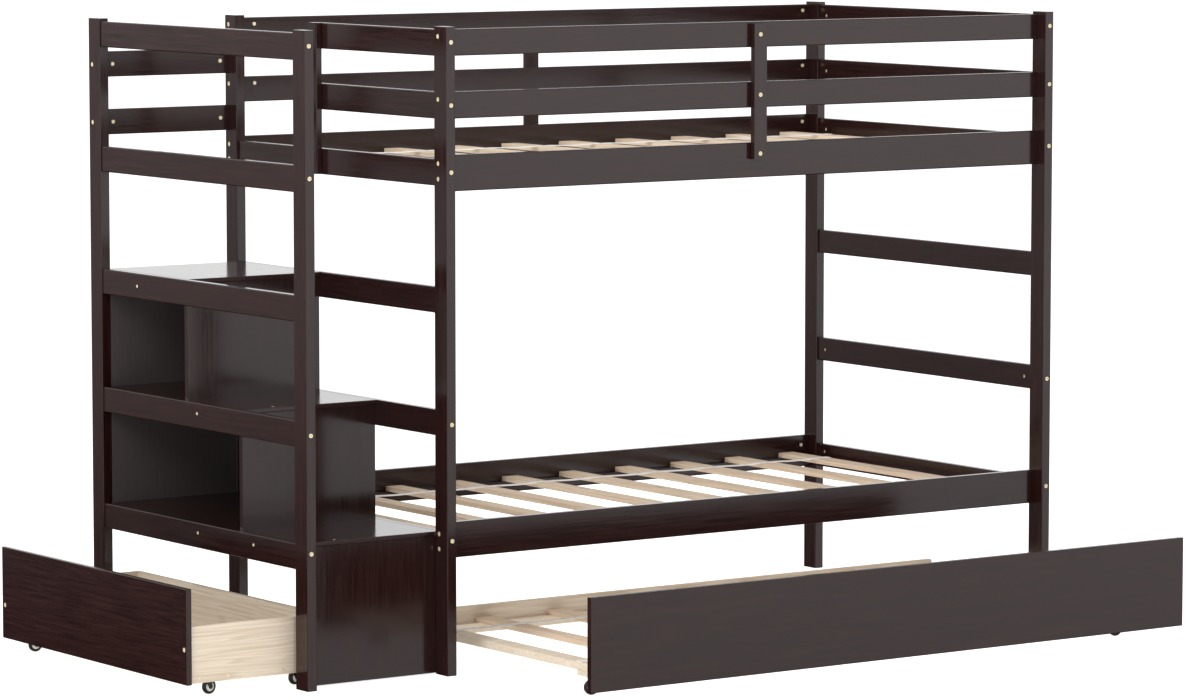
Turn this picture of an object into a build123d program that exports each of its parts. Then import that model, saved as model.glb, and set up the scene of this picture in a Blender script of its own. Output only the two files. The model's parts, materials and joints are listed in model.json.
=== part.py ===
from build123d import *
import os

# Twin-over-twin bunk bed with a staircase of cubbies, a stair drawer and a pull-out trundle.
# Millimetres. X runs along the bed from the stairs, Y from the front to the rear, Z up.
# Every place below is measured from the outer front corner of the stair posts, on the floor.
# The finished parts are then moved so that the origin is the middle of the footprint.

# ---- driving dimensions ----------------------------------------------------------------

LENGTH = 2402.0            # over the outer faces of the posts
DEPTH = 1080.0
HEIGHT = 1650.0
POST_WIDE = 28.0           # along X
POST_DEEP = 57.0           # along Y
STAIR_POST_X = 0.0
BED_POST_X = 418.0         # left posts of the bed proper
RAIL_THICK = 20.0
BOARD_THICK = 12.0         # treads, shelves and panels of the staircase
RISER_THICK = 15.0
EDGE_ROUND = 2.5           # eased edges of posts and rails
SOFT_EDGE = 1.2            # eased edges of thin boards

# Heights of the cross rails, each as (bottom, top).
TOP_RAIL = (1575.0, 1642.5)
GUARD_RAIL = (1416.5, 1484.5)
BED_RAIL = (1247.0, 1314.5)
UPPER_STEP_RAIL = (924.0, 990.5)
LOWER_STEP_RAIL = (611.0, 677.5)
LOW_RAIL = (301.5, 367.5)
# Heights of the long side rails of the two bunks and of the rails behind the stairs.
UPPER_SIDE_RAIL = (1232.5, 1325.0)
LOWER_SIDE_RAIL = (298.0, 389.5)
STAIR_REAR_RAILS = ((1494.5, 1562.0), (1342.0, 1409.5))

FRONT_RAIL_Y = (33.0, 53.0)
REAR_RAIL_Y = (1056.0, 1076.0)
UPPER_LEDGER = (1238.0, 1263.0)
LOWER_LEDGER = (305.5, 330.5)

SLAT_WIDE = 52.0
SLAT_THICK = 13.0
SLAT_COUNT = 10
FIRST_SLAT_X = 521.0
LAST_SLAT_X = 2262.0
STRAP_WIDE = 25.0
STRAP_THICK = 2.0
STRAP_YS = (223.0, 886.0)

STEP_TOPS = (367.5, 677.5, 990.5)
RISER_YS = (57.0, 348.0, 618.0)
TREAD_NOSE = 8.0           # how far a tread stands out past its riser
STAIR_BACK_Y = 1023.0

BOLT_R = 3.0
BOLT_HOLE_R = 3.3
HEAD_R = 5.75
HEAD_HIGH = 5.0
HEAD_SINK = 1.0            # the head lies this far below the wood's face
COUNTERBORE_R = 7.0
HEX_R = 2.9
HEX_DEEP = 3.0
NUT_R = 5.0
NUT_HOLE_R = 5.1
NUT_LONG = 14.0
END_NUT_INSET = 32.0       # barrel nut to the rail's end, cross rails
LEFT_NUT_INSET = 49.0      # long rails, left end
RIGHT_NUT_INSET = 30.0     # long rails, right end
SCREW_R = 1.75
SCREW_HEAD_R = 4.0

DRAWER_FRONT = ((-310.0, -295.0), (67.0, 1014.0), (36.0, 277.0))
DRAWER_BACK_X = 100.0
DRAWER_SIDES_Y = (74.0, 1008.0)
DRAWER_BOX_Z = (38.0, 181.0)
DRAWER_BOTTOM_Z = (46.0, 54.0)

TRUNDLE_FRONT = ((450.0, 2370.0), (-591.0, -575.0), (34.0, 271.0))
TRUNDLE_X = (542.0, 2278.0)
TRUNDLE_REAR_Y = (362.0, 382.0)
TRUNDLE_REAR_Z = (38.0, 110.0)
TRUNDLE_SLAT_TOP = 80.0
TRUNDLE_END_BOARD = 50.0
TRUNDLE_FIRST_SLAT_X = 740.0
TRUNDLE_SECOND_SLAT_X = 972.0
TRUNDLE_LAST_SLAT_X = 2028.0
TRUNDLE_STRAP_YS = (-405.0, 197.0)

CASTER_HIGH = 46.0
CASTER_TRAIL = 14.0        # axle to swivel axis
WHEEL_R = 19.0
TYRE_HALF = 6.0
HUB_R = 12.0
HUB_HALF = 6.6
EAR_IN = 7.1               # inner face of a fork ear, from the wheel's middle
EAR_THICK = 1.8
AXLE_R = 2.5
RUN_FIT = 0.05             # radial clearance of axles and swivel stems
STEM_R = 4.0
MOUNT_PLATE = (44.0, 36.0, 2.0)

# Middle of the footprint of the bed with its drawer and trundle pulled out, and the rear support.
REAR_SUPPORT_Y = (1076.0, 1094.0)
ORIGIN_X = (DRAWER_FRONT[0][0] + LENGTH) / 2
ORIGIN_Y = (TRUNDLE_FRONT[1][0] + REAR_SUPPORT_Y[1]) / 2

RIGHT_POST_X = LENGTH - POST_WIDE
REAR_POST_Y = DEPTH - POST_DEEP
BED_IN = (BED_POST_X + POST_WIDE, RIGHT_POST_X)      # clear length between the bed's posts
POST_GAP_Y = (POST_DEEP, REAR_POST_Y)                # clear depth between front and rear posts
STAIR_RAIL_X = (4.0, 4.0 + RAIL_THICK)
LEFT_RAIL_X = (424.0, 424.0 + RAIL_THICK)
RIGHT_RAIL_X = (2380.0, 2380.0 + RAIL_THICK)
STAIR_IN = (STAIR_RAIL_X[1], LEFT_RAIL_X[0])         # clear width of the treads
FRONT_BOLT_Y = 40.0
REAR_BOLT_Y = 1063.0

LEFT = (-1, 0, 0)
RIGHT = (1, 0, 0)
FRONT = (0, -1, 0)
BACK = (0, 1, 0)
DOWN = (0, 0, -1)


# ---- helpers ---------------------------------------------------------------------------

def middle(span):
    """Middle of a (low, high) span."""
    return (span[0] + span[1]) / 2


def block(x, y, z):
    """Square-edged box given by its spans along X, Y and Z."""
    return Pos(middle(x), middle(y), middle(z)) * Box(x[1] - x[0], y[1] - y[0], z[1] - z[0])


def board(x, y, z, along, ease=EDGE_ROUND):
    """Board with its four long edges rounded, given by its spans; its length lies along one axis."""
    wide = x[1] - x[0]
    deep = y[1] - y[0]
    high = z[1] - z[0]
    if along == "x":
        profile = extrude(Plane.YZ * RectangleRounded(deep, high, ease), wide)
        return Pos(x[0], middle(y), middle(z)) * profile
    if along == "y":
        profile = extrude(Plane.ZX * RectangleRounded(high, wide, ease), deep)
        return Pos(middle(x), y[0], middle(z)) * profile
    profile = extrude(RectangleRounded(wide, deep, ease), high)
    return Pos(middle(x), middle(y), z[0]) * profile


def rod(radius, low, high):
    """Cylinder about Z between two heights."""
    return Pos(0, 0, low) * Cylinder(radius, high - low, align=(Align.CENTER, Align.CENTER, Align.MIN))


def aimed(point, way):
    """Frame at a point whose Z runs along the given way."""
    return Plane(origin=point, z_dir=way)


def spaced(first, last, count):
    """Evenly spaced values from first to last."""
    return [first + (last - first) * i / (count - 1) for i in range(count)]


def near(a, b):
    """True where two bounding boxes meet."""
    return all(
        low_a <= high_b and low_b <= high_a
        for low_a, high_a, low_b, high_b in (
            (a.min.X, a.max.X, b.min.X, b.max.X),
            (a.min.Y, a.max.Y, b.min.Y, b.max.Y),
            (a.min.Z, a.max.Z, b.min.Z, b.max.Z),
        )
    )


def bored(shape, bores):
    """The shape with every bore that reaches it cut out."""
    box = shape.bounding_box()
    cuts = [bore for bore in bores if near(box, bore.bounding_box())]
    return shape - cuts if cuts else shape


def save(name, pieces):
    """Write one node: its pieces as separate solids, moved to the part's origin."""
    solids = [solid for piece in pieces for solid in piece.solids()]
    moved = [Pos(-ORIGIN_X, -ORIGIN_Y, 0) * solid for solid in solids]
    shape = moved[0] if len(moved) == 1 else Compound(moved)
    shape.label = name
    export_step(shape, f"parts/{name}.step")


# ---- fasteners -------------------------------------------------------------------------

def socket_bolt(reach):
    """Socket-head bolt pointing along +Z from the wood's face at Z = 0."""
    seat = HEAD_SINK + HEAD_HIGH
    body = rod(HEAD_R, HEAD_SINK, seat) + rod(BOLT_R, seat, reach)
    socket = Pos(0, 0, HEAD_SINK) * extrude(RegularPolygon(HEX_R, 6), HEX_DEEP)
    return body - socket


def bolt_bore(reach):
    """Counterbore and clearance hole for a socket-head bolt."""
    return rod(COUNTERBORE_R, 0, HEAD_SINK + HEAD_HIGH) + rod(BOLT_HOLE_R, 0, reach + 2)


def wood_screw(reach):
    """Countersunk wood screw pointing along +Z, its head flush with the face at Z = 0."""
    head = Cone(SCREW_HEAD_R, SCREW_R, 3.0, align=(Align.CENTER, Align.CENTER, Align.MIN))
    tip = Cone(SCREW_R, 0.3, 4.0, align=(Align.CENTER, Align.CENTER, Align.MIN))
    cross = Box(4.4, 0.9, 2.4) + Box(0.9, 4.4, 2.4)
    return head + rod(SCREW_R, 3.0, reach - 4.0) + Pos(0, 0, reach - 4.0) * tip - cross


def screw_bore(reach):
    """Countersink and pilot hole for a wood screw."""
    head = Cone(SCREW_HEAD_R, SCREW_R, 3.0, align=(Align.CENTER, Align.CENTER, Align.MIN))
    return head + rod(SCREW_R, 0, reach + 1)


frame_bolts = []
barrel_nuts = []
frame_bores = []


def add_bolt(face, way, reach):
    """One frame bolt that starts at a wood face, with its bore."""
    at = aimed(face, way)
    frame_bolts.append(at * socket_bolt(reach))
    frame_bores.append(at * bolt_bore(reach))


def add_nut(centre, mouth, way, shift=0.0):
    """Barrel nut across a rail, in a blind hole whose mouth is on the rail's inner face.

    mouth is the way the blind hole opens; way is the bolt's own direction; shift moves the nut
    along its hole while its thread stays on the bolt.
    """
    at = aimed(centre, mouth)
    thread = aimed(centre, way) * rod(BOLT_R + RUN_FIT, -NUT_R - 1, NUT_R + 1)
    half = NUT_LONG / 2
    barrel_nuts.append(at * rod(NUT_R, shift - half, shift + half) - thread)
    frame_bores.append(at * rod(NUT_HOLE_R, shift - half, RAIL_THICK))


# Bolts along Y: through the posts into the ends of the cross rails, from the front and the rear.
ALL_LEVELS = (1611.0, 1452.0, 1283.0, 643.0, 346.0)
STAIR_LEVELS = (1611.0, 1283.0, 643.0, 346.0)
ROWS = (
    (middle(STAIR_RAIL_X), STAIR_LEVELS, RIGHT, STAIR_LEVELS),
    (middle(LEFT_RAIL_X), ALL_LEVELS, RIGHT, ALL_LEVELS[2:]),
    (middle(RIGHT_RAIL_X), ALL_LEVELS, LEFT, ALL_LEVELS),
)
Y_REACH = POST_DEEP + END_NUT_INSET + 8
for row_x, front_levels, mouth_way, rear_levels in ROWS:
    for level in front_levels:
        add_bolt((row_x, 0, level), BACK, Y_REACH)
        add_nut((row_x, POST_DEEP + END_NUT_INSET, level), mouth_way, BACK)
    for level in rear_levels:
        add_bolt((row_x, DEPTH, level), FRONT, Y_REACH)
        add_nut((row_x, REAR_POST_Y - END_NUT_INSET, level), mouth_way, FRONT)

# Bolts along X: through the bed's posts into the ends of the long rails.
SIDE_LEVELS = (1625.0, 1466.0, 1304.0, 1265.0, 361.5, 323.0)
for bolt_y, mouth_way in ((FRONT_BOLT_Y, BACK), (REAR_BOLT_Y, FRONT)):
    for level in SIDE_LEVELS:
        add_bolt((BED_POST_X, bolt_y, level), RIGHT, POST_WIDE + LEFT_NUT_INSET + 8)
        add_nut((BED_IN[0] + LEFT_NUT_INSET, bolt_y, level), mouth_way, RIGHT, 2)
        add_bolt((LENGTH, bolt_y, level), LEFT, POST_WIDE + RIGHT_NUT_INSET + 8)
        add_nut((BED_IN[1] - RIGHT_NUT_INSET, bolt_y, level), mouth_way, LEFT, 2)

# Bolts along X: through the rear stair post and the rear left bed post into the stair rear rails.
for span in STAIR_REAR_RAILS:
    level = middle(span)
    add_bolt((STAIR_POST_X, REAR_BOLT_Y, level), RIGHT, POST_WIDE + RIGHT_NUT_INSET + 8)
    add_nut((POST_WIDE + RIGHT_NUT_INSET, REAR_BOLT_Y, level), FRONT, RIGHT, 2)
    add_bolt((BED_IN[0], REAR_BOLT_Y, level), LEFT, POST_WIDE + RIGHT_NUT_INSET + 8)
    add_nut((BED_POST_X - RIGHT_NUT_INSET, REAR_BOLT_Y, level), FRONT, LEFT, 2)

# Bolts that hold the three upright supports against the guard rails.
SUPPORT_Z = (1281.0, 1637.5)
FRONT_SUPPORT_X = (1396.0, 1438.0)
REAR_SUPPORT_X = (1393.0, 1435.0)
FRONT_SUPPORT_Y = (15.0, FRONT_RAIL_Y[0])
ENTRY_POST_X = (406.0, LEFT_RAIL_X[0])
ENTRY_POST_Y = (598.0, 638.0)
ENTRY_POST_Z = (1248.0, 1643.0)
for level in (1609.0, 1450.5, 1296.0):
    add_bolt((middle(FRONT_SUPPORT_X), FRONT_SUPPORT_Y[0], level), BACK, 34)
    add_bolt((middle(REAR_SUPPORT_X), REAR_SUPPORT_Y[1], level), FRONT, 34)
for level in (1609.0, 1450.5, 1281.0):
    add_bolt((ENTRY_POST_X[0], middle(ENTRY_POST_Y), level), RIGHT, 34)

stair_screws = []


def add_screw(face, way, reach):
    """One staircase screw with its pilot hole."""
    stair_screws.append(aimed(face, way) * wood_screw(reach))
    frame_bores.append(aimed(face, way) * screw_bore(reach))


# Two screws down through each tread into its riser, and screws through the outer rails into the cleats.
for step_top, riser_y in zip(STEP_TOPS, RISER_YS):
    for screw_x in (120.0, 328.0):
        add_screw((screw_x, riser_y + RISER_THICK / 2, step_top), DOWN, 38)
for screw_y, screw_z in ((842.0, 957.0), (540.0, 650.0), (540.0, 341.0), (264.0, 341.0)):
    add_screw((STAIR_RAIL_X[0], screw_y, screw_z), RIGHT, 34)


# ---- posts and rails -------------------------------------------------------------------

def post(x, y):
    """Upright post with eased corners, given by its low corner on the floor."""
    return bored(board((x, x + POST_WIDE), (y, y + POST_DEEP), (0, HEIGHT), "z"), frame_bores)


for post_side, post_x in (("stair", STAIR_POST_X), ("left", BED_POST_X), ("right", RIGHT_POST_X)):
    save(f"{post_side}_post_front", [post(post_x, 0)])
    save(f"{post_side}_post_rear", [post(post_x, REAR_POST_Y)])


def rails(spans, x, y, along):
    """Rails one above the other, with their bolt and nut holes."""
    return [bored(board(x, y, span, along), frame_bores) for span in spans]


for side, rail_y in (("front", FRONT_RAIL_Y), ("rear", REAR_RAIL_Y)):
    save(f"{side}_guard_rails", rails((TOP_RAIL, GUARD_RAIL), BED_IN, rail_y, "x"))
    save(f"{side}_upper_rail", rails((UPPER_SIDE_RAIL,), BED_IN, rail_y, "x"))
    save(f"{side}_lower_rail", rails((LOWER_SIDE_RAIL,), BED_IN, rail_y, "x"))

STEP_RAILS = (BED_RAIL, UPPER_STEP_RAIL, LOWER_STEP_RAIL, LOW_RAIL)
ENTRY_RAIL_Y = (POST_DEEP, ENTRY_POST_Y[1])
save("left_end_rails", rails(STEP_RAILS, LEFT_RAIL_X, POST_GAP_Y, "y"))
save("right_end_rails", rails((TOP_RAIL, GUARD_RAIL) + STEP_RAILS, RIGHT_RAIL_X, POST_GAP_Y, "y"))
save("entry_guard_rails", rails((TOP_RAIL, GUARD_RAIL), LEFT_RAIL_X, ENTRY_RAIL_Y, "y"))
save("stair_outer_rails", rails((TOP_RAIL,) + STEP_RAILS, STAIR_RAIL_X, POST_GAP_Y, "y"))
save("stair_rear_rails", rails(STAIR_REAR_RAILS, (POST_WIDE, BED_POST_X), REAR_RAIL_Y, "x"))

supports = [
    board(FRONT_SUPPORT_X, FRONT_SUPPORT_Y, SUPPORT_Z, "z"),
    board(REAR_SUPPORT_X, REAR_SUPPORT_Y, SUPPORT_Z, "z"),
    board(ENTRY_POST_X, ENTRY_POST_Y, ENTRY_POST_Z, "z"),
]
save("guard_supports", [bored(support, frame_bores) for support in supports])

save("frame_bolts", frame_bolts)
save("barrel_nuts", barrel_nuts)


# ---- bunks -----------------------------------------------------------------------------

LEDGER_WIDE = 20.0
ledger_x = (BED_IN[0] + 2, BED_IN[1] - 2)
front_ledger_y = (FRONT_RAIL_Y[1], FRONT_RAIL_Y[1] + LEDGER_WIDE)
rear_ledger_y = (REAR_RAIL_Y[0] - LEDGER_WIDE, REAR_RAIL_Y[0])
ledgers = []
for ledger_z in (UPPER_LEDGER, LOWER_LEDGER):
    for ledger_y in (front_ledger_y, rear_ledger_y):
        ledgers.append(bored(board(ledger_x, ledger_y, ledger_z, "x", SOFT_EDGE), frame_bores))
save("bed_ledgers", ledgers)

SLAT_Y = (FRONT_RAIL_Y[1] + 1, REAR_RAIL_Y[0] - 1)
straps = []
for bunk, ledger_z in (("upper", UPPER_LEDGER), ("lower", LOWER_LEDGER)):
    slat_z = (ledger_z[1], ledger_z[1] + SLAT_THICK)
    strap_z = (slat_z[1], slat_z[1] + STRAP_THICK)
    slats = []
    for slat_x in spaced(FIRST_SLAT_X, LAST_SLAT_X, SLAT_COUNT):
        slats.append(board((slat_x, slat_x + SLAT_WIDE), SLAT_Y, slat_z, "y", SOFT_EDGE))
    save(f"{bunk}_slats", slats)
    for strap_y in STRAP_YS:
        strap_span = (strap_y - STRAP_WIDE / 2, strap_y + STRAP_WIDE / 2)
        straps.append(block((FIRST_SLAT_X, LAST_SLAT_X + SLAT_WIDE), strap_span, strap_z))
save("slat_straps", straps)


# ---- staircase -------------------------------------------------------------------------

CLEAT_WIDE = 20.0
CLEAT_HIGH = 30.0
CLEAT_END = 8.0            # from a cleat's rear end to the back panel

def tread(number, y):
    """One tread board; the first is notched round the front posts."""
    top = STEP_TOPS[number]
    z = (top - BOARD_THICK, top)
    plate = board(STAIR_IN, (max(y[0], POST_DEEP), y[1]), z, "x", 2.0)
    if y[0] < POST_DEEP:
        between_posts = (POST_WIDE, BED_POST_X)
        nose = board(between_posts, (y[0], POST_DEEP + 8), z, "x", 2.0)
        plate = block(STAIR_IN, (POST_DEEP, y[1]), z) + nose
    return bored(plate, frame_bores)


def riser(number):
    """One riser board between the tread or floor below and the tread above."""
    y = (RISER_YS[number], RISER_YS[number] + RISER_THICK)
    bottom = STEP_TOPS[number - 1] if number else 3.0
    z = (bottom, STEP_TOPS[number] - BOARD_THICK)
    return bored(block(STAIR_IN, y, z), frame_bores)


tread_spans = [
    (RISER_YS[0] - TREAD_NOSE, RISER_YS[1] + RISER_THICK),
    (RISER_YS[1] - TREAD_NOSE, RISER_YS[2] + RISER_THICK),
    (RISER_YS[2] - TREAD_NOSE, STAIR_BACK_Y),
]
for step, tread_y in enumerate(tread_spans):
    save(f"tread_{step + 1}", [tread(step, tread_y)])
    save(f"riser_{step + 1}", [riser(step)])

shelves = []
cubby_panels = [block((POST_WIDE, BED_POST_X), (STAIR_BACK_Y, STAIR_BACK_Y + BOARD_THICK),
                      (STEP_TOPS[0], STEP_TOPS[2] - BOARD_THICK))]
for step in (0, 1):
    shelf_y = (RISER_YS[step + 1] + RISER_THICK, STAIR_BACK_Y)
    shelves.append(block(STAIR_IN, shelf_y, (STEP_TOPS[step] - BOARD_THICK, STEP_TOPS[step])))
    panel_x = (STAIR_IN[1] - BOARD_THICK, STAIR_IN[1])
    cubby_panels.append(block(panel_x, shelf_y, (STEP_TOPS[step], STEP_TOPS[step + 1] - BOARD_THICK)))
save("cubby_shelves", shelves)
save("cubby_panels", cubby_panels)

# Cleats under the boards: outer ones on the outer rails, inner ones on the end rails or the panels.
cleats = []
for step, step_top in enumerate(STEP_TOPS):
    cleat_z = (step_top - BOARD_THICK - CLEAT_HIGH, step_top - BOARD_THICK)
    cleat_y = (RISER_YS[step] + RISER_THICK + 2, STAIR_BACK_Y - CLEAT_END)
    inner_end = STAIR_IN[1] - BOARD_THICK if step else STAIR_IN[1]
    outer = board((STAIR_IN[0], STAIR_IN[0] + CLEAT_WIDE), cleat_y, cleat_z, "y", SOFT_EDGE)
    inner = board((inner_end - CLEAT_WIDE, inner_end), cleat_y, cleat_z, "y", SOFT_EDGE)
    cleats.append(bored(outer, frame_bores))
    cleats.append(bored(inner, frame_bores))
save("stair_cleats", cleats)
save("stair_screws", stair_screws)


# ---- casters ---------------------------------------------------------------------------

def mount_plate(x, y):
    """Steel plate of a caster with the stem's hole; its top is the caster's full height."""
    wide, deep, thick = MOUNT_PLATE
    plate = extrude(RectangleRounded(wide, deep, 4), thick)
    holes = [Pos(hole_x, hole_y, 0) * rod(2.0, -1, thick + 1)
             for hole_x in (-16.5, 16.5) for hole_y in (-12.5, 12.5)]
    ring = rod(STEM_R + RUN_FIT, -1, thick + 1)
    return Pos(x, y, CASTER_HIGH - thick) * (plate - ring - holes)


def fork(x, y, trail_angle):
    """Swivel fork: stem, raceway, crown, two ears and the axle, trailing at an angle from +X."""
    crown_top = 42.2
    crown_low = 40.2
    body = rod(STEM_R, crown_low, CASTER_HIGH - 0.4)
    body += rod(11.5, crown_top, CASTER_HIGH - MOUNT_PLATE[2] - 0.3)
    body += rod(12.5, crown_low, crown_top)
    body += Pos(6, 0, (crown_low + crown_top) / 2) * Box(18, 2 * (EAR_IN + EAR_THICK), crown_top - crown_low)
    outline = Polygon((8, WHEEL_R), (20, WHEEL_R), (15, crown_top), (-6, crown_top), align=None)
    outline += Pos(CASTER_TRAIL, WHEEL_R) * Circle(6)
    ear = extrude(Plane.XZ * outline, EAR_THICK)
    body += Pos(0, -EAR_IN, 0) * ear
    body += Pos(0, EAR_IN + EAR_THICK, 0) * ear
    axle_half = EAR_IN + EAR_THICK + 1
    axle = aimed((CASTER_TRAIL, 0, WHEEL_R), BACK) * rod(AXLE_R, -axle_half, axle_half)
    return Pos(x, y, 0) * Rot(0, 0, trail_angle) * (body + axle)


def wheel(x, y, trail_angle):
    """Wheel of a caster: a tyre with rounded shoulders on a hub with a running bore."""
    tyre = rod(WHEEL_R, -TYRE_HALF, TYRE_HALF)
    tyre = fillet(tyre.edges().filter_by(GeomType.CIRCLE), 2.2) - rod(HUB_R, -20, 20)
    hub = rod(HUB_R, -TYRE_HALF + 1, TYRE_HALF - 1) + rod(5.0, -HUB_HALF, HUB_HALF)
    hub -= rod(AXLE_R + RUN_FIT, -20, 20)
    at = Pos(x, y, 0) * Rot(0, 0, trail_angle) * aimed((CASTER_TRAIL, 0, WHEEL_R), BACK).location
    return [at * tyre, at * hub]


DRAWER_CASTERS = {
    "drawer_left": (-228.0, 120.0, 8.0),
    "drawer_right": (-228.0, 962.0, 176.0),
    "drawer_rear_left": (24.0, 120.0, 14.0),
    "drawer_rear_right": (24.0, 962.0, -6.0),
}
TRUNDLE_CASTERS = {
    "trundle_left": (572.0, -440.0, 162.0),
    "trundle_right": (2248.0, -440.0, 287.0),
    "trundle_rear_left": (572.0, 298.0, 118.0),
    "trundle_rear_right": (2248.0, 298.0, 74.0),
}
for caster, spot in (DRAWER_CASTERS | TRUNDLE_CASTERS).items():
    save(f"{caster}_caster_fork", [fork(*spot)])
    save(f"{caster}_caster_wheel", wheel(*spot))


# ---- stair drawer ----------------------------------------------------------------------

hardware = []
drawer_bores = []


def add_drawer_bolt(face, way, reach):
    """Bolt through the drawer front into the end of a side board."""
    hardware.append(aimed(face, way) * socket_bolt(reach))
    drawer_bores.append(aimed(face, way) * bolt_bore(reach))


def add_drawer_screw(face, way, reach):
    """Wood screw of the drawer box."""
    hardware.append(aimed(face, way) * wood_screw(reach))
    drawer_bores.append(aimed(face, way) * screw_bore(reach))


left_side_y = (DRAWER_SIDES_Y[0], DRAWER_SIDES_Y[0] + BOARD_THICK)
right_side_y = (DRAWER_SIDES_Y[1] - BOARD_THICK, DRAWER_SIDES_Y[1])
for side_y in (left_side_y, right_side_y):
    add_drawer_bolt((DRAWER_FRONT[0][0], middle(side_y), 124.0), RIGHT, 56)
for screw_x in (-267.0, -186.0, -25.0):
    add_drawer_screw((screw_x, DRAWER_SIDES_Y[0], 50.0), BACK, 30)
    add_drawer_screw((screw_x, DRAWER_SIDES_Y[1], 50.0), FRONT, 30)
for screw_z in (70.0, 150.0):
    add_drawer_screw((DRAWER_BACK_X - BOARD_THICK / 2, DRAWER_SIDES_Y[0], screw_z), BACK, 36)
    add_drawer_screw((DRAWER_BACK_X - BOARD_THICK / 2, DRAWER_SIDES_Y[1], screw_z), FRONT, 36)

side_x = (DRAWER_FRONT[0][1], DRAWER_BACK_X)
inside_y = (left_side_y[1], right_side_y[0])
box_boards = [
    board(side_x, left_side_y, DRAWER_BOX_Z, "x", SOFT_EDGE),
    board(side_x, right_side_y, DRAWER_BOX_Z, "x", SOFT_EDGE),
    board((DRAWER_BACK_X - BOARD_THICK, DRAWER_BACK_X), inside_y, DRAWER_BOX_Z, "y", SOFT_EDGE),
]
bottom_x = (DRAWER_FRONT[0][1], DRAWER_BACK_X - BOARD_THICK)
save("drawer_front", [bored(board(*DRAWER_FRONT, "y", 2.0), drawer_bores)])
save("drawer_box", [bored(piece, drawer_bores) for piece in box_boards])
save("drawer_bottom", [bored(block(bottom_x, inside_y, DRAWER_BOTTOM_Z), drawer_bores)])
plates = [mount_plate(spot[0], spot[1]) for spot in DRAWER_CASTERS.values()]
save("drawer_hardware", hardware + plates)


# ---- trundle ---------------------------------------------------------------------------

trundle_in_y = (TRUNDLE_FRONT[1][1], TRUNDLE_REAR_Y[0])
trundle_slat_z = (TRUNDLE_SLAT_TOP - SLAT_THICK, TRUNDLE_SLAT_TOP)
end_board_z = (TRUNDLE_SLAT_TOP - 20, TRUNDLE_SLAT_TOP)
end_board_spans = (
    (TRUNDLE_X[0], TRUNDLE_X[0] + TRUNDLE_END_BOARD),
    (TRUNDLE_X[1] - TRUNDLE_END_BOARD, TRUNDLE_X[1]),
)
trundle_hardware = []
trundle_bores = []
for end_x in end_board_spans:
    face = (middle(end_x), TRUNDLE_REAR_Y[1], middle(end_board_z))
    trundle_hardware.append(aimed(face, FRONT) * wood_screw(60))
    trundle_bores.append(aimed(face, FRONT) * screw_bore(60))

trundle_frame = [board(TRUNDLE_X, TRUNDLE_REAR_Y, TRUNDLE_REAR_Z, "x", 2.0)]
for end_x in end_board_spans:
    trundle_frame.append(board(end_x, trundle_in_y, end_board_z, "y", SOFT_EDGE))
save("trundle_front", [board(*TRUNDLE_FRONT, "x", 2.0)])
save("trundle_frame", [bored(piece, trundle_bores) for piece in trundle_frame])

# Ledgers that carry the slats, between the end boards, and a block under each corner for a caster.
ledger_between = (end_board_spans[0][1], end_board_spans[1][0])
ledger_z = (trundle_slat_z[0] - 20, trundle_slat_z[0])
trundle_ledgers = [
    board(ledger_between, (trundle_in_y[0], trundle_in_y[0] + 20), ledger_z, "x", SOFT_EDGE),
    board(ledger_between, (trundle_in_y[1] - 20, trundle_in_y[1]), ledger_z, "x", SOFT_EDGE),
]
BLOCK_LONG = 84.0
for block_x, block_y, _ in TRUNDLE_CASTERS.values():
    end_x = end_board_spans[0] if block_x < middle(TRUNDLE_X) else end_board_spans[1]
    block_y_span = (block_y - BLOCK_LONG / 2, block_y + BLOCK_LONG / 2)
    trundle_ledgers.append(block(end_x, block_y_span, (CASTER_HIGH, end_board_z[0])))
save("trundle_ledgers", trundle_ledgers)

trundle_slats = []
slat_lefts = [TRUNDLE_FIRST_SLAT_X] + spaced(TRUNDLE_SECOND_SLAT_X, TRUNDLE_LAST_SLAT_X, 6)
for slat_x in slat_lefts:
    slat_y = (trundle_in_y[0] + 1, trundle_in_y[1] - 1)
    trundle_slats.append(board((slat_x, slat_x + SLAT_WIDE), slat_y, trundle_slat_z, "y", SOFT_EDGE))
save("trundle_slats", trundle_slats)

trundle_straps = []
for strap_y in TRUNDLE_STRAP_YS:
    strap_span = (strap_y - STRAP_WIDE / 2, strap_y + STRAP_WIDE / 2)
    strap_z = (TRUNDLE_SLAT_TOP, TRUNDLE_SLAT_TOP + STRAP_THICK)
    trundle_straps.append(block(TRUNDLE_X, strap_span, strap_z))
save("trundle_strap", trundle_straps)

plates = [mount_plate(spot[0], spot[1]) for spot in TRUNDLE_CASTERS.values()]
save("trundle_hardware", trundle_hardware + plates)
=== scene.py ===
import json
import math

import bpy
from mathutils import Matrix, Vector


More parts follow.
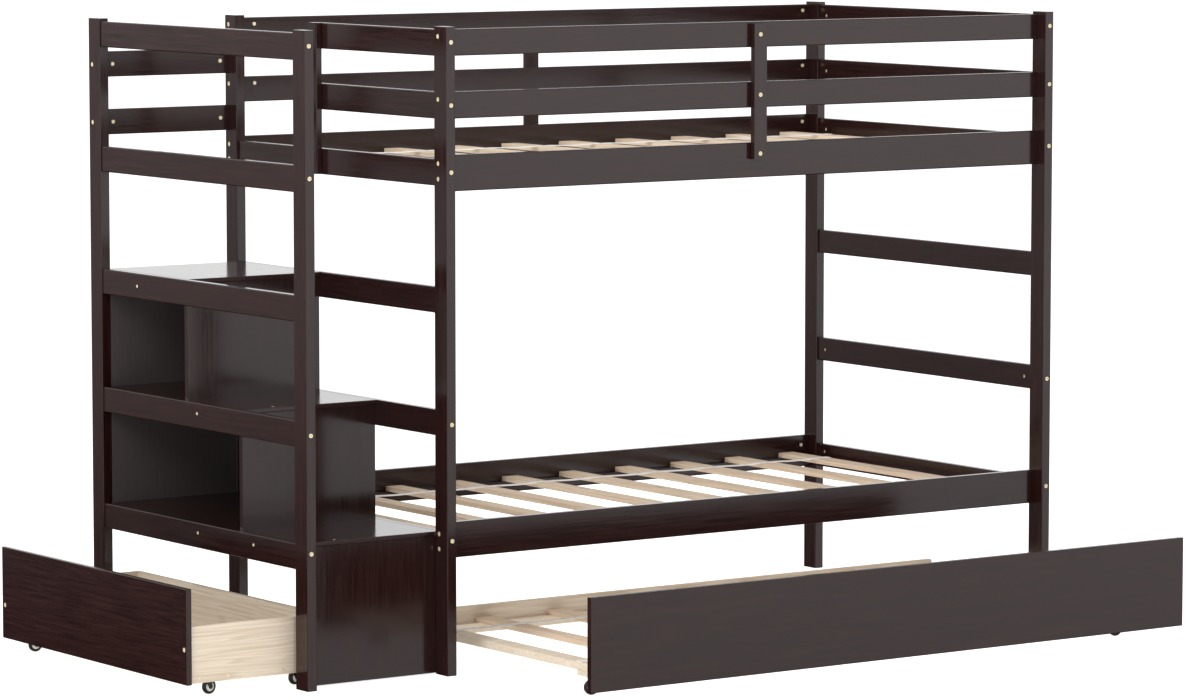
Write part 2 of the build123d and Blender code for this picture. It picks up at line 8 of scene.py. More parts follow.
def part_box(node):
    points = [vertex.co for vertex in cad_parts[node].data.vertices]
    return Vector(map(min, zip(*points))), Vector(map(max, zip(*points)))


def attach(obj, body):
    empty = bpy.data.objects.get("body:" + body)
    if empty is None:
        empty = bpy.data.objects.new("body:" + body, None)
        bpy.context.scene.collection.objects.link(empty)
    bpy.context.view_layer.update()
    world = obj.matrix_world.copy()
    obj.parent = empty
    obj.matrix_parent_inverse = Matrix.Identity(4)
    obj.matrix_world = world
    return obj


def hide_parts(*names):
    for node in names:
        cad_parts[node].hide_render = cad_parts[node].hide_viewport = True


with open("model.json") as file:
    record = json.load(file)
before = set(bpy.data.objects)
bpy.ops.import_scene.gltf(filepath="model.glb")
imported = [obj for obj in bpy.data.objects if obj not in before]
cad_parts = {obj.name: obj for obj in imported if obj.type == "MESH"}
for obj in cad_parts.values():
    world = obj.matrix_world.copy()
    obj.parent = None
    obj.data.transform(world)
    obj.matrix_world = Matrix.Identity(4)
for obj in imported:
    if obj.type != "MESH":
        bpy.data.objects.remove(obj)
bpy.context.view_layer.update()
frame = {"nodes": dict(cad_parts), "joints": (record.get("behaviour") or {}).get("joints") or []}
nodes = frame["nodes"]
scene = bpy.context.scene


# ---- Studio ------------------------------------------------------------------------------
# A pale seamless floor under a big soft sky, as in a furniture catalogue. The sky is bright above
# the horizon and dark below it, and in front of the bed the light reaches further down; the
# semi-gloss paint mirrors those steps.

def srgb(code):
    """Linear RGBA of an sRGB hex colour."""
    parts = [int(code[i:i + 2], 16) / 255 for i in (1, 3, 5)]
    return [p / 12.92 if p <= 0.04045 else ((p + 0.055) / 1.055) ** 2.4 for p in parts] + [1.0]


def add_node(tree, kind, inputs=(), stops=(), **settings):
    """Adds a node; inputs maps its sockets to values or to other nodes' outputs.

    The stops of a colour ramp are (position, colour) pairs, from the lowest to the highest.
    """
    node = tree.nodes.new(kind)
    if stops:
        marks = node.color_ramp.elements
        marks[0].position, marks[0].color = stops[0]
        marks[1].position, marks[1].color = stops[-1]
        for position, colour in stops[1:-1]:
            marks.new(position).color = colour
    for key, value in settings.items():
        setattr(node, key, value)
    for key, value in dict(inputs).items():
        if isinstance(value, bpy.types.NodeSocket):
            tree.links.new(value, node.inputs[key])
        else:
            node.inputs[key].default_value = value
    return node


def new_material(name):
    """An empty node material and its tree."""
    material = bpy.data.materials.new(name)
    material.use_nodes = True
    material.node_tree.nodes.clear()
    return material, material.node_tree


FLOOR_SIZE = 240.0
floor_mesh = bpy.data.meshes.new("studio_floor")
half_floor = FLOOR_SIZE / 2
floor_corners = [(-half_floor, -half_floor, 0), (half_floor, -half_floor, 0),
                 (half_floor, half_floor, 0), (-half_floor, half_floor, 0)]
floor_mesh.from_pydata(floor_corners, [], [(0, 1, 2, 3)])
floor = bpy.data.objects.new("studio_floor", floor_mesh)
scene.collection.objects.link(floor)
# Matt white vinyl, lit so evenly that it shows no edge; the paint doesn't mirror it.
floor_paint, tree = new_material("white_studio_vinyl")
shader = add_node(tree, "ShaderNodeBsdfPrincipled", {
    "Base Color": srgb("#dededd"), "Roughness": 0.9, "Specular IOR Level": 0.0,
    "Emission Color": srgb("#ffffff"), "Emission Strength": 0.78})
add_node(tree, "ShaderNodeOutputMaterial", {"Surface": shader.outputs[0]})
floor_mesh.materials.append(floor_paint)
floor.visible_glossy = False

world = bpy.data.worlds.new("studio_sky")
scene.world = world
world.use_nodes = True
tree = world.node_tree
tree.nodes.clear()
# Light by height, from 0 at the bottom of the band to 1 at its top: what lies behind and beside
# the bed, and what lies in front of it. The horizon is at 0.54.
SKY_BAND = (-0.35, 0.3)
SKY_BEHIND = ((0.32, 0.0), (0.37, 0.22), (0.41, 0.29), (0.49, 0.24), (0.57, 1.0), (0.85, 1.0),
              (1.0, 0.5))
SKY_IN_FRONT = ((0.14, 0.0), (0.24, 0.5), (0.29, 0.58), (0.35, 0.73), (0.49, 1.0), (0.62, 1.0),
                (0.77, 0.48), (1.0, 0.4))
REAR_GLOW = 1.3
FRONT_GLOW = 1.6
sky_way = add_node(tree, "ShaderNodeTexCoord")
sky_parts = add_node(tree, "ShaderNodeSeparateXYZ", {0: sky_way.outputs["Generated"]})
sky_height = add_node(tree, "ShaderNodeMapRange", {
    "Value": sky_parts.outputs["Z"], "From Min": SKY_BAND[0], "From Max": SKY_BAND[1]})
sky_lights = []
for steps, glow in ((SKY_BEHIND, REAR_GLOW), (SKY_IN_FRONT, FRONT_GLOW)):
    sky_steps = add_node(tree, "ShaderNodeValToRGB", {"Fac": sky_height.outputs[0]}, stops=[
        (position, (level, level, level, 1)) for position, level in steps])
    sky_lights.append(add_node(tree, "ShaderNodeMath", {
        0: sky_steps.outputs["Color"], 1: glow}, operation="MULTIPLY"))
rear_light, front_light = sky_lights
in_front = add_node(tree, "ShaderNodeMapRange", {
    "Value": sky_parts.outputs["Y"], "From Min": -0.2, "From Max": -0.6,
    "To Min": 0.0, "To Max": front_light.outputs[0]})
brightest = add_node(tree, "ShaderNodeMath", {
    0: rear_light.outputs[0], 1: in_front.outputs[0]}, operation="MAXIMUM")
sky_light = add_node(tree, "ShaderNodeBackground", {
    "Color": srgb("#ffffff"), "Strength": brightest.outputs[0]})
add_node(tree, "ShaderNodeOutputWorld", {"Surface": sky_light.outputs[0]})

BED_TARGET = Vector((0.13, 0.28, 0.75))
for light_name, place, size, power in (
    ("softbox_overhead", (-0.5, -0.6, 5.2), 4.5, 110),
    ("softbox_left", (-5.6, -1.2, 4.6), 3.0, 250),
):
    lamp = bpy.data.lights.new(light_name, "AREA")
    lamp.size = size
    lamp.energy = power
    light = bpy.data.objects.new(light_name, lamp)
    light.location = place
    light.rotation_euler = (BED_TARGET - Vector(place)).to_track_quat("-Z", "Y").to_euler()
    scene.collection.objects.link(light)

scene.view_settings.view_transform = "Standard"

# The camera stands about 14 m off, front left of the bed, a little above its top, with a long lens.
CAMERA_PLACE = (-7.7931, -11.1586, 2.1325)
CAMERA_YAW = math.radians(34.934)
CAMERA_DIP = math.radians(5.681)
camera_data = bpy.data.cameras.new("camera")
camera_data.sensor_width = 36.0
camera_data.lens = 157.23
camera_data.clip_end = 400.0
camera = bpy.data.objects.new("camera", camera_data)
camera.location = CAMERA_PLACE
camera.rotation_euler = (math.pi / 2 - CAMERA_DIP, 0, -CAMERA_YAW)
scene.collection.objects.link(camera)
scene.camera = camera


# ---- Posts and rails ---------------------------------------------------------------------
# Planed pine posts and rails, sprayed with espresso paint to a semi-gloss: nearly black red-brown,
# with the grain just showing as faint streaks and a fine ripple in the gloss.

MM = 0.001


def grain_coordinates(tree, grain, across_mm, along_mm):
    """Object coordinates measured in grain widths across the board and streak lengths along it."""
    scale = [1 / (across_mm * MM)] * 3
    scale["xyz".index(grain)] = 1 / (along_mm * MM)
    where = add_node(tree, "ShaderNodeTexCoord")
    return add_node(tree, "ShaderNodeMapping", {
        "Vector": where.outputs["Object"], "Scale": scale}).outputs[0]


def espresso_paint(name, grain):
    """Espresso semi-gloss paint over pine whose grain runs along one axis."""
    material, tree = new_material(name)
    streaks = add_node(tree, "ShaderNodeTexNoise", {
        "Vector": grain_coordinates(tree, grain, 5.0, 160.0), "Scale": 1.0, "Detail": 5.0,
        "Roughness": 0.65})
    tone = add_node(tree, "ShaderNodeValToRGB", {"Fac": streaks.outputs["Fac"]}, stops=(
        (0.30, srgb("#160a09")), (0.72, srgb("#2c1614"))))
    fibres = add_node(tree, "ShaderNodeTexNoise", {
        "Vector": grain_coordinates(tree, grain, 1.6, 70.0), "Scale": 1.0, "Detail": 3.0})
    sheen = add_node(tree, "ShaderNodeMapRange", {
        "Value": streaks.outputs["Fac"], "From Min": 0.3, "From Max": 0.7,
        "To Min": 0.12, "To Max": 0.19})
    ripple = add_node(tree, "ShaderNodeBump", {
        "Height": fibres.outputs["Fac"], "Strength": 0.12, "Distance": 0.4 * MM})
    shader = add_node(tree, "ShaderNodeBsdfPrincipled", {
        "Base Color": tone.outputs["Color"], "Roughness": sheen.outputs[0],
        "Normal": ripple.outputs[0], "IOR": 1.5})
    add_node(tree, "ShaderNodeOutputMaterial", {"Surface": shader.outputs[0]})
    return material


def finish_nodes(material, names):
    """Gives CAD nodes a finish in place of their packed one."""
    for name in names:
        mesh = nodes[name].data
        mesh.materials.clear()
        mesh.materials.append(material)


POSTS = [f"{side}_post_{end}" for side in ("stair", "left", "right") for end in ("front", "rear")]
espresso_upright = espresso_paint("espresso_paint_upright", "z")
espresso_lengthways = espresso_paint("espresso_paint_lengthways", "x")
espresso_crossways = espresso_paint("espresso_paint_crossways", "y")
finish_nodes(espresso_upright, POSTS + ["guard_supports"])
finish_nodes(espresso_lengthways, [
    "front_guard_rails", "rear_guard_rails", "front_upper_rail", "front_lower_rail",
    "rear_upper_rail", "rear_lower_rail", "stair_rear_rails", "bed_ledgers"])
finish_nodes(espresso_crossways, [
    "left_end_rails", "right_end_rails", "entry_guard_rails", "stair_outer_rails", "stair_cleats"])


# ---- Staircase ---------------------------------------------------------------------------
# Treads, risers, shelves and panels of the same espresso-painted board, glued and screwed. Cleats
# under the boards carry them, and a back panel closes the cubbies behind.

finish_nodes(espresso_lengthways, ["tread_1", "tread_2", "tread_3", "cubby_shelves"])
finish_nodes(espresso_upright, ["riser_1", "riser_2", "riser_3"])

# The back panel is painted paler than the boards, grey-brown where they are nearly black. This is
# painted light standing in for the light inside the cubbies, and the rest keeps the espresso paint.
# The back panel is 12 mm thick, and the painted light laps 4 mm onto the side panels.
PAINTED_LIGHT_DEEP = 16 * MM
BACK_PANEL_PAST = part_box("cubby_panels")[1].y - PAINTED_LIGHT_DEEP
cubby_paint_with_painted_light, tree = new_material("cubby_panel_paint_with_painted_light")
panel_place = add_node(tree, "ShaderNodeTexCoord")
panel_parts = add_node(tree, "ShaderNodeSeparateXYZ", {0: panel_place.outputs["Object"]})
# Mask of the painted light: the back panel and the 4 mm of the side panels next to it.
painted_light_on_back = add_node(tree, "ShaderNodeMath", {
    0: panel_parts.outputs["Y"], 1: BACK_PANEL_PAST}, operation="GREATER_THAN")
panel_grain = add_node(tree, "ShaderNodeTexNoise", {
    "Vector": grain_coordinates(tree, "z", 5.0, 160.0), "Scale": 1.0, "Detail": 4.0})
solid_tone = add_node(tree, "ShaderNodeMix", {
    "Factor": panel_grain.outputs["Fac"], "A": srgb("#180b0a"), "B": srgb("#2b1514")},
    data_type="RGBA")
# Painted light: this paler grey-brown on the back panel stands in for the light inside the cubbies.
painted_light_panel_tone = add_node(tree, "ShaderNodeMix", {
    "Factor": panel_grain.outputs["Fac"], "A": srgb("#453f3e"), "B": srgb("#4e4847")},
    data_type="RGBA")
tone_with_painted_light = add_node(tree, "ShaderNodeMix", {
    "Factor": painted_light_on_back.outputs[0], "A": solid_tone.outputs["Result"],
    "B": painted_light_panel_tone.outputs["Result"]}, data_type="RGBA")
shader = add_node(tree, "ShaderNodeBsdfPrincipled", {
    "Base Color": tone_with_painted_light.outputs["Result"], "Roughness": 0.17, "IOR": 1.5})
add_node(tree, "ShaderNodeOutputMaterial", {"Surface": shader.outputs[0]})
finish_nodes(cubby_paint_with_painted_light, ["cubby_panels"])


# ---- Bolts, nuts and screws --------------------------------------------------------------
# Socket-head bolts and barrel nuts of the frame, wood screws of the stairs, and the drawer's own
# bolts, screws and caster plates, all in yellow-passivated zinc; the trundle's screws and caster
# plates are bright zinc.

CLOUD_WIDE = 9 * MM


def plated_steel(name, light, dark, roughness):
    """Plated steel whose passivation varies a little in tone from place to place."""
    material, tree = new_material(name)
    where = add_node(tree, "ShaderNodeTexCoord")
    clouds = add_node(tree, "ShaderNodeTexNoise", {
        "Vector": where.outputs["Object"], "Scale": 1 / CLOUD_WIDE, "Detail": 3.0})
    tone = add_node(tree, "ShaderNodeMix", {
        "Factor": clouds.outputs["Fac"], "A": srgb(dark), "B": srgb(light)}, data_type="RGBA")
    shader = add_node(tree, "ShaderNodeBsdfPrincipled", {
        "Base Color": tone.outputs["Result"], "Metallic": 0.6, "Roughness": roughness})
    add_node(tree, "ShaderNodeOutputMaterial", {"Surface": shader.outputs[0]})
    return material


yellow_zinc = plated_steel("yellow_zinc_plate", "#fff6dc", "#f0dcae", 0.45)
bright_zinc = plated_steel("bright_zinc_plate", "#d9dadc", "#a8abb0", 0.3)
finish_nodes(yellow_zinc, ["frame_bolts", "barrel_nuts", "stair_screws", "drawer_hardware"])
finish_nodes(bright_zinc, ["trundle_hardware"])


# ---- Slats -------------------------------------------------------------------------------
# Sawn and sanded pine slats, unfinished: cream early wood with warmer growth lines along the slat
# and a small brown knot here and there.

# Tones through one growth ring, from pale early wood to the darker line of late wood.
RING_TONES = ((0.0, "#dcd7cc"), (0.4, "#dad4c9"), (0.8, "#d0c7ba"), (0.9, "#cdc3b5"),
              (1.0, "#d7d1c5"))
RING_SWELL = 11.0          # growth rings from the lowest to the highest value of the slow noise
KNOT_CHANCE = 0.28         # share of the cells that hold a knot


def bare_pine(name, grain, tints, turned_past=None):
    """Unfinished pine whose grain runs along one axis, or along Y past a given X."""
    material, tree = new_material(name)

    def measured(across_mm, along_mm):
        """Grain coordinates, turned for the boards that lie past the given X."""
        plain = grain_coordinates(tree, grain, across_mm, along_mm)
        if turned_past is None:
            return plain
        where = add_node(tree, "ShaderNodeTexCoord")
        place = add_node(tree, "ShaderNodeSeparateXYZ", {0: where.outputs["Object"]})
        past = add_node(tree, "ShaderNodeMath", {
            0: place.outputs["X"], 1: turned_past}, operation="GREATER_THAN")
        crosswise = grain_coordinates(tree, "y", across_mm, along_mm)
        return add_node(tree, "ShaderNodeMix", {
            "Factor": past.outputs[0], "A": plain, "B": crosswise},
            data_type="VECTOR").outputs[1]

    # Growth rings are level lines of a slow noise, so they close into long flat arches.
    swell = add_node(tree, "ShaderNodeTexNoise", {
        "Vector": measured(42.0, 1200.0), "Scale": 1.0, "Detail": 2.0, "Roughness": 0.45})
    across = add_node(tree, "ShaderNodeVectorMath", {
        0: measured(34.0, 6000.0), 1: (1.0, 1.0, 1.0)}, operation="DOT_PRODUCT")
    ring_count = add_node(tree, "ShaderNodeMath", {
        0: swell.outputs["Fac"], 1: RING_SWELL, 2: across.outputs["Value"]},
        operation="MULTIPLY_ADD")
    ring_part = add_node(tree, "ShaderNodeMath", {0: ring_count.outputs[0]}, operation="FRACT")
    tone = add_node(tree, "ShaderNodeValToRGB", {"Fac": ring_part.outputs[0]}, stops=[
        (position, srgb(code)) for position, code in RING_TONES])
    fibres = add_node(tree, "ShaderNodeTexNoise", {
        "Vector": measured(5.5, 170.0), "Scale": 1.0, "Detail": 5.0, "Roughness": 0.7})
    fibre_tone = add_node(tree, "ShaderNodeMapRange", {
        "Value": fibres.outputs["Fac"], "From Min": 0.3, "From Max": 0.7,
        "To Min": 0.88, "To Max": 1.07})
    board_tint = add_node(tree, "ShaderNodeTexNoise", {
        "Vector": measured(60.0, 900.0), "Scale": 1.0, "Detail": 1.0})
    tint = add_node(tree, "ShaderNodeMix", {
        "Factor": board_tint.outputs["Fac"], "A": srgb(tints[0]), "B": srgb(tints[1])},
        data_type="RGBA")
    tinted = add_node(tree, "ShaderNodeMix", {
        "Factor": 1.0, "A": tone.outputs["Color"], "B": tint.outputs["Result"]},
        data_type="RGBA", blend_type="MULTIPLY")
    shaded = add_node(tree, "ShaderNodeVectorMath", {
        0: tinted.outputs["Result"], "Scale": fibre_tone.outputs[0]}, operation="SCALE")
    knot_cells = add_node(tree, "ShaderNodeTexVoronoi", {
        "Vector": measured(95.0, 260.0), "Scale": 1.0, "Randomness": 1.0})
    knot_core = add_node(tree, "ShaderNodeMapRange", {
        "Value": knot_cells.outputs["Distance"], "From Min": 0.03, "From Max": 0.14,
        "To Min": 0.75, "To Max": 0.0})
    knot_pick = add_node(tree, "ShaderNodeSeparateXYZ", {0: knot_cells.outputs["Color"]})
    knot_here = add_node(tree, "ShaderNodeMath", {
        0: knot_pick.outputs["X"], 1: 1 - KNOT_CHANCE}, operation="GREATER_THAN")
    knot = add_node(tree, "ShaderNodeMath", {
        0: knot_core.outputs[0], 1: knot_here.outputs[0]}, operation="MULTIPLY")
    knotted = add_node(tree, "ShaderNodeMix", {
        "Factor": knot.outputs[0], "A": shaded.outputs[0], "B": srgb("#a98d6c")},
        data_type="RGBA")
    ridges = add_node(tree, "ShaderNodeBump", {
        "Height": fibres.outputs["Fac"], "Strength": 0.2, "Distance": 0.3 * MM})
    shader = add_node(tree, "ShaderNodeBsdfPrincipled", {
        "Base Color": knotted.outputs["Result"], "Roughness": 0.62,
        "Normal": ridges.outputs[0], "IOR": 1.45})
    add_node(tree, "ShaderNodeOutputMaterial", {"Surface": shader.outputs[0]})
    return material


SLAT_TINTS = ("#ecd6c2", "#fff0e0")
BOARD_TINTS = ("#e8dccf", "#fff6ec")
pine_crossways = bare_pine("bare_pine_crossways", "y", SLAT_TINTS)
pine_lengthways = bare_pine("bare_pine_lengthways", "x", BOARD_TINTS)
finish_nodes(pine_crossways, ["upper_slats", "lower_slats", "trundle_slats"])


# ---- Webbing -----------------------------------------------------------------------------
# Two white polyester tapes tie the slats of each bunk together at a fixed spacing; each tape
# dips a little between the slats and is held to every slat by one wire staple.

YARN_WIDE = 0.65 * MM
WAVE_BAND = 0.314          # length of one band of the wave node at scale 1, about pi / 10


def woven_tape():
    """White woven polyester tape in a plain weave: raised yarns with a painted highlight, and
    painted shade in the hollows between them.
    """
    material, tree = new_material("white_polyester_webbing")
    where = add_node(tree, "ShaderNodeTexCoord")
    warp, weft = [
        add_node(tree, "ShaderNodeTexWave", {
            "Vector": where.outputs["Object"], "Scale": WAVE_BAND / YARN_WIDE},
            wave_type="BANDS", bands_direction=direction, wave_profile="SIN")
        for direction in "XY"
    ]
    yarns = add_node(tree, "ShaderNodeMath", {
        0: warp.outputs["Fac"], 1: weft.outputs["Fac"]}, operation="MAXIMUM")
    # Painted highlight and shade: the raised yarns are painted paler and the hollows between them
    # darker.
    tone = add_node(tree, "ShaderNodeMix", {
        "Factor": yarns.outputs[0], "A": srgb("#cfcac6"), "B": srgb("#f4f1ee")},
        data_type="RGBA")
    relief = add_node(tree, "ShaderNodeBump", {
        "Height": yarns.outputs[0], "Strength": 0.5, "Distance": 0.5 * MM})
    shader = add_node(tree, "ShaderNodeBsdfPrincipled", {
        "Base Color": tone.outputs["Result"], "Roughness": 0.7, "Normal": relief.outputs[0],
        "Sheen Weight": 0.3, "Sheen Roughness": 0.4})
    add_node(tree, "ShaderNodeOutputMaterial", {"Surface": shader.outputs[0]})
    return material


def new_tree(name, inputs):
    """A Geometry Nodes tree with named inputs, each with its socket type."""
    tree = bpy.data.node_groups.new(name, "GeometryNodeTree")
    for label, kind in inputs.items():
        tree.interface.new_socket(label, in_out="INPUT", socket_type=kind)
    tree.interface.new_socket("Geometry", in_out="OUTPUT", socket_type="NodeSocketGeometry")
    return tree, add_node(tree, "NodeGroupInput").outputs


def end_tree(tree, geometry, material):
    """Ends a tree: its instances are made real and given their material."""
    real = add_node(tree, "GeometryNodeRealizeInstances", {"Geometry": geometry})
    coated = add_node(tree, "GeometryNodeSetMaterial", {
        "Geometry": real.outputs[0], "Material": material})
    add_node(tree, "NodeGroupOutput", {0: coated.outputs[0]})


def grown(name, tree, values):
    """Runs a tree with the given inputs and returns the result as a plain mesh object."""
    seed = bpy.data.objects.new(name + "_seed", bpy.data.meshes.new(name + "_seed"))
    scene.collection.objects.link(seed)
    modifier = seed.modifiers.new("grow", "NODES")
    modifier.node_group = tree
    for item in tree.interface.items_tree:
        if item.in_out == "INPUT" and item.name in values:
            modifier[item.identifier] = values[item.name]
    graph = bpy.context.evaluated_depsgraph_get()
    mesh = bpy.data.meshes.new_from_object(seed.evaluated_get(graph), depsgraph=graph)
    seed.modifiers.remove(modifier)
    bpy.data.objects.remove(seed)
    piece = bpy.data.objects.new(name, mesh)
    scene.collection.objects.link(piece)
    return piece


webbing = woven_tape()
FLOAT = "NodeSocketFloat"
TAPE_STEP = 6 * MM
DIP_POWER = 1.5            # above 1 the tape leaves each slat more gently
tape_tree, tape_in = new_tree("webbing_tape", {
    "Start": "NodeSocketVector", "Length": FLOAT, "Width": FLOAT, "Thickness": FLOAT,
    "Pitch": FLOAT, "Slat Width": FLOAT, "Dip": FLOAT})
tape_end = add_node(tape_tree, "ShaderNodeCombineXYZ", {"X": tape_in["Length"]})
tape_line = add_node(tape_tree, "GeometryNodeCurvePrimitiveLine", {"End": tape_end.outputs[0]})
tape_steps = add_node(tape_tree, "GeometryNodeResampleCurve", {
    "Curve": tape_line.outputs[0], "Length": TAPE_STEP}, mode="LENGTH")
tape_place = add_node(tape_tree, "GeometryNodeInputPosition")
tape_parts = add_node(tape_tree, "ShaderNodeSeparateXYZ", {0: tape_place.outputs[0]})
along_pitch = add_node(tape_tree, "ShaderNodeMath", {
    0: tape_parts.outputs["X"], 1: tape_in["Pitch"]}, operation="FLOORED_MODULO")
across_gap = add_node(tape_tree, "ShaderNodeMapRange", {
    "Value": along_pitch.outputs[0], "From Min": tape_in["Slat Width"],
    "From Max": tape_in["Pitch"], "To Min": 0.0, "To Max": math.pi})
gap_wave = add_node(tape_tree, "ShaderNodeMath", {0: across_gap.outputs[0]}, operation="SINE")
gap_shape = add_node(tape_tree, "ShaderNodeMath", {
    0: gap_wave.outputs[0], 1: DIP_POWER}, operation="POWER")
dip = add_node(tape_tree, "ShaderNodeMath", {
    0: gap_shape.outputs[0], 1: tape_in["Dip"]}, operation="MULTIPLY")
drop = add_node(tape_tree, "ShaderNodeMath", {0: dip.outputs[0], 1: -1.0}, operation="MULTIPLY")
tape_shift = add_node(tape_tree, "ShaderNodeCombineXYZ", {"Z": drop.outputs[0]})
tape_path = add_node(tape_tree, "GeometryNodeSetPosition", {
    "Geometry": tape_steps.outputs[0], "Offset": tape_shift.outputs[0]})
tape_upright = add_node(tape_tree, "GeometryNodeSetCurveNormal", {
    "Curve": tape_path.outputs[0]}, mode="Z_UP")
tape_section = add_node(tape_tree, "GeometryNodeCurvePrimitiveQuadrilateral", {
    "Width": tape_in["Width"], "Height": tape_in["Thickness"]})
tape_body = add_node(tape_tree, "GeometryNodeCurveToMesh", {
    "Curve": tape_upright.outputs[0], "Profile Curve": tape_section.outputs[0],
    "Fill Caps": True})
tape_moved = add_node(tape_tree, "GeometryNodeTransform", {
    "Geometry": tape_body.outputs[0], "Translation": tape_in["Start"]})
end_tree(tape_tree, tape_moved.outputs[0], webbing)

# Staples: round wire crowns lying across the tape, with their legs driven into the slat.
staple_wire = plated_steel("galvanised_staple_wire", "#b9bbbd", "#86898c", 0.42)
staple_tree, staple_in = new_tree("staples", {
    "Start": "NodeSocketVector", "Step": "NodeSocketVector", "Count": "NodeSocketInt",
    "Crown": FLOAT, "Leg": FLOAT, "Wire": FLOAT})
staple_points = add_node(staple_tree, "GeometryNodeMeshLine", {
    "Count": staple_in["Count"], "Start Location": staple_in["Start"],
    "Offset": staple_in["Step"]}, mode="OFFSET")
crown = add_node(staple_tree, "GeometryNodeCurvePrimitiveQuadrilateral", {
    "Width": staple_in["Crown"], "Height": staple_in["Leg"]})
crown_round = add_node(staple_tree, "GeometryNodeFilletCurve", {
    "Curve": crown.outputs[0], "Radius": staple_in["Wire"], "Count": 3}, mode="POLY")
wire_section = add_node(staple_tree, "GeometryNodeCurvePrimitiveCircle", {
    "Resolution": 8, "Radius": staple_in["Wire"]})
staple_body = add_node(staple_tree, "GeometryNodeCurveToMesh", {
    "Curve": crown_round.outputs[0], "Profile Curve": wire_section.outputs[0]})
staple_stood = add_node(staple_tree, "GeometryNodeTransform", {
    "Geometry": staple_body.outputs[0], "Rotation": (math.pi / 2, 0, math.pi / 2)})
staples_set = add_node(staple_tree, "GeometryNodeInstanceOnPoints", {
    "Points": staple_points.outputs[0], "Instance": staple_stood.outputs[0]})
end_tree(staple_tree, staples_set.outputs[0], staple_wire)

TAPE_WIDE = 25 * MM
TAPE_THICK = 1.3 * MM
TAPE_DIP = 1.5 * MM
TAPE_GAP = 0.2 * MM
STAPLE_CROWN = 11 * MM
STAPLE_LEG = 3 * MM
STAPLE_WIRE = 0.45 * MM
STAPLE_PROUD = 0.6 * MM
SLAT_WIDE = 52 * MM


def tie_slats(name, strap, body, slat_count, first_slat_apart=0.0):
    """Lays two tapes over a row of evenly spaced slats, and staples them down at every slat."""
    slats = f"{name}_slats"
    slats_low, slats_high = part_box(slats)
    strap_low, strap_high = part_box(strap)
    slat_top = slats_high.z
    first_slat = slats_low.x + first_slat_apart
    pitch = (slats_high.x - SLAT_WIDE - first_slat) / (slat_count - 1)
    length = strap_high.x - strap_low.x
    tape_rows = (strap_low.y + TAPE_WIDE / 2, strap_high.y - TAPE_WIDE / 2)
    for number, tape_y in enumerate(tape_rows, start=1):
        tape = grown(f"{name}_webbing_{number}", tape_tree, {
            "Start": (strap_low.x, tape_y, slat_top + TAPE_THICK / 2 + TAPE_GAP),
            "Length": length, "Width": TAPE_WIDE, "Thickness": TAPE_THICK, "Pitch": pitch,
            "Slat Width": SLAT_WIDE, "Dip": TAPE_DIP})
        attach(tape, body)
        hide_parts(strap)
        staples = grown(f"{name}_staples_{number}", staple_tree, {
            "Start": (first_slat + SLAT_WIDE / 2, tape_y,
                      slat_top + TAPE_THICK - STAPLE_LEG / 2 + STAPLE_PROUD),
            "Step": (pitch, 0, 0), "Count": slat_count, "Crown": STAPLE_CROWN,
            "Leg": STAPLE_LEG, "Wire": STAPLE_WIRE})
        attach(staples, body)


BUNK_SLATS = 10
for bunk in ("upper", "lower"):
    tie_slats(bunk, "slat_straps", "bed_frame", BUNK_SLATS)


# ---- Stair drawer ------------------------------------------------------------------------
# An espresso front on a box of bare pine boards; the two long sides run front to back and the
# rear board runs across, so their grain turns at the corner.

finish_nodes(espresso_crossways, ["drawer_front"])
DRAWER_REAR_BOARD = 15.5 * MM
pine_box = bare_pine("bare_pine_box", "x", BOARD_TINTS,
                     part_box("drawer_box")[1].x - DRAWER_REAR_BOARD)
finish_nodes(pine_box, ["drawer_box"])
finish_nodes(pine_lengthways, ["drawer_bottom"])


# ---- Trundle -----------------------------------------------------------------------------
# A long espresso front on a low frame of bare pine boards, with its own slats on two ledgers and
# its own webbing. The first slat stands apart from the six others and has no staples.

finish_nodes(espresso_lengthways, ["trundle_front"])
finish_nodes(pine_lengthways, ["trundle_frame", "trundle_ledgers"])
TRUNDLE_EVEN_SLATS = 6
FIRST_SLAT_APART = 232 * MM
tie_slats("trundle", "trundle_strap", "trundle", TRUNDLE_EVEN_SLATS, FIRST_SLAT_APART)


# ---- Casters -----------------------------------------------------------------------------
# Light swivel casters: a pressed fork enamelled black, and a hard black rubber tyre moulded
# round a pale nylon hub that spins on a plain rivet.

def fine_skin(name, light, dark, roughness, grit_mm, relief):
    """Enamel, rubber or nylon, smooth but for a fine grit that breaks up its shine."""
    material, tree = new_material(name)
    where = add_node(tree, "ShaderNodeTexCoord")
    grit = add_node(tree, "ShaderNodeTexNoise", {
        "Vector": where.outputs["Object"], "Scale": 1 / (grit_mm * MM), "Detail": 4.0})
    tone = add_node(tree, "ShaderNodeMix", {
        "Factor": grit.outputs["Fac"], "A": srgb(dark), "B": srgb(light)}, data_type="RGBA")
    bump = add_node(tree, "ShaderNodeBump", {
        "Height": grit.outputs["Fac"], "Strength": relief, "Distance": 0.4 * MM})
    shader = add_node(tree, "ShaderNodeBsdfPrincipled", {
        "Base Color": tone.outputs["Result"], "Roughness": roughness,
        "Normal": bump.outputs[0]})
    add_node(tree, "ShaderNodeOutputMaterial", {"Surface": shader.outputs[0]})
    return material


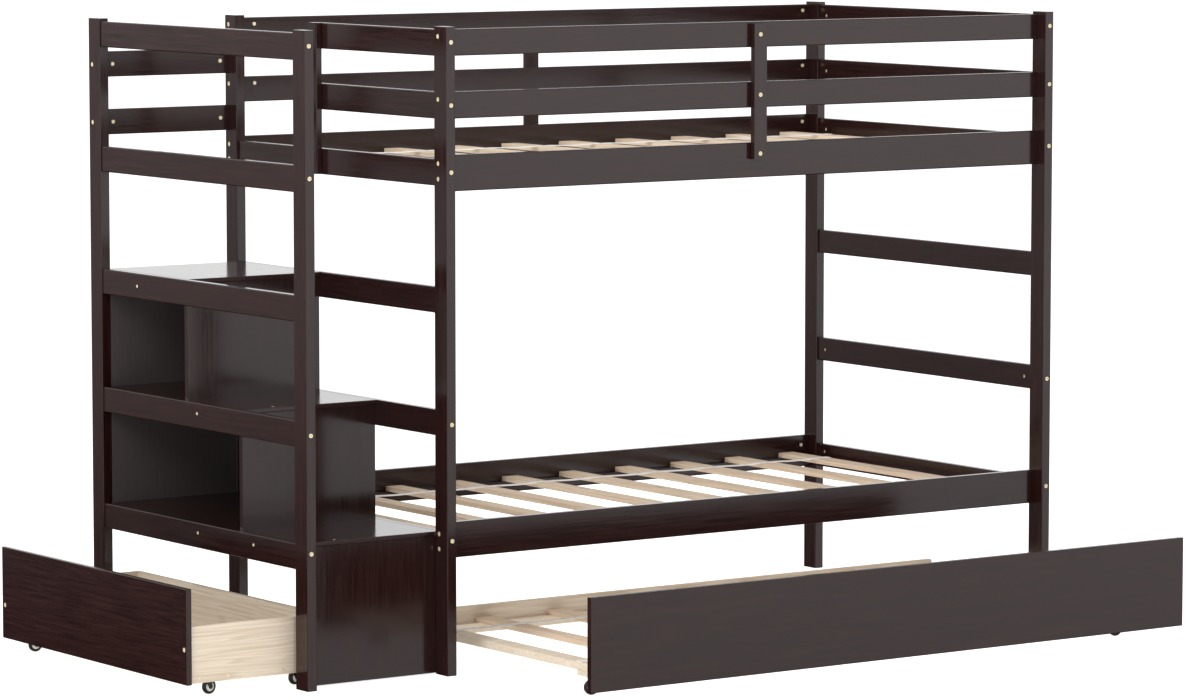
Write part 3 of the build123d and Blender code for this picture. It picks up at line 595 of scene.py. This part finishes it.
black_enamel = fine_skin("black_enamel", "#1d1d1f", "#131314", 0.3, 2.0, 0.08)
black_rubber = fine_skin("black_caster_rubber", "#232324", "#161617", 0.55, 1.2, 0.2)
pale_nylon = fine_skin("pale_nylon", "#ecebe8", "#d6d5d2", 0.38, 1.6, 0.08)

# Half of each ring's section as (radius, across) points in mm; the other half mirrors it.
TYRE_HALF = ((12.0, 5.0), (13.2, 5.9), (16.6, 5.9), (18.1, 5.1), (18.8, 3.4), (19.0, 1.2))
HUB_HALF = ((2.56, 6.6), (4.6, 6.6), (5.2, 6.0), (5.6, 3.0), (9.6, 2.6), (10.4, 4.8), (11.0, 5.2),
            (11.97, 5.0))
TURNED_STEPS = 48


def turned(name, half, centre, axle, material):
    """A ring turned about the axle from half of its closed section."""
    section = [(radius, -across) for radius, across in half] + list(reversed(half))
    axle = Vector(axle)
    out = axle.orthogonal().normalized()
    side = axle.cross(out)
    points = []
    for step in range(TURNED_STEPS):
        angle = 2 * math.pi * step / TURNED_STEPS
        spoke = out * math.cos(angle) + side * math.sin(angle)
        for radius, across in section:
            points.append(centre + spoke * radius * MM + axle * across * MM)
    count = len(section)
    faces = []
    for step in range(TURNED_STEPS):
        here = step * count
        there = (step + 1) % TURNED_STEPS * count
        for i in range(count):
            j = (i + 1) % count
            faces.append((here + i, here + j, there + j, there + i))
    mesh = bpy.data.meshes.new(name)
    mesh.from_pydata(points, [], faces)
    mesh.polygons.foreach_set("use_smooth", [True] * len(faces))
    mesh.materials.append(material)
    piece = bpy.data.objects.new(name, mesh)
    scene.collection.objects.link(piece)
    return piece


for joint in frame["joints"]:
    if not joint["name"].endswith("_axle"):
        continue
    caster = joint["name"][:-len("_axle")]
    centre = Vector(joint["pos_m"])
    finish_nodes(black_enamel, [f"{caster}_caster_fork"])
    for part, half, material in (("tyre", TYRE_HALF, black_rubber), ("hub", HUB_HALF, pale_nylon)):
        piece = turned(f"{caster}_{part}", half, centre, joint["axis"], material)
        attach(piece, joint["child"])
        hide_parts(f"{caster}_caster_wheel")
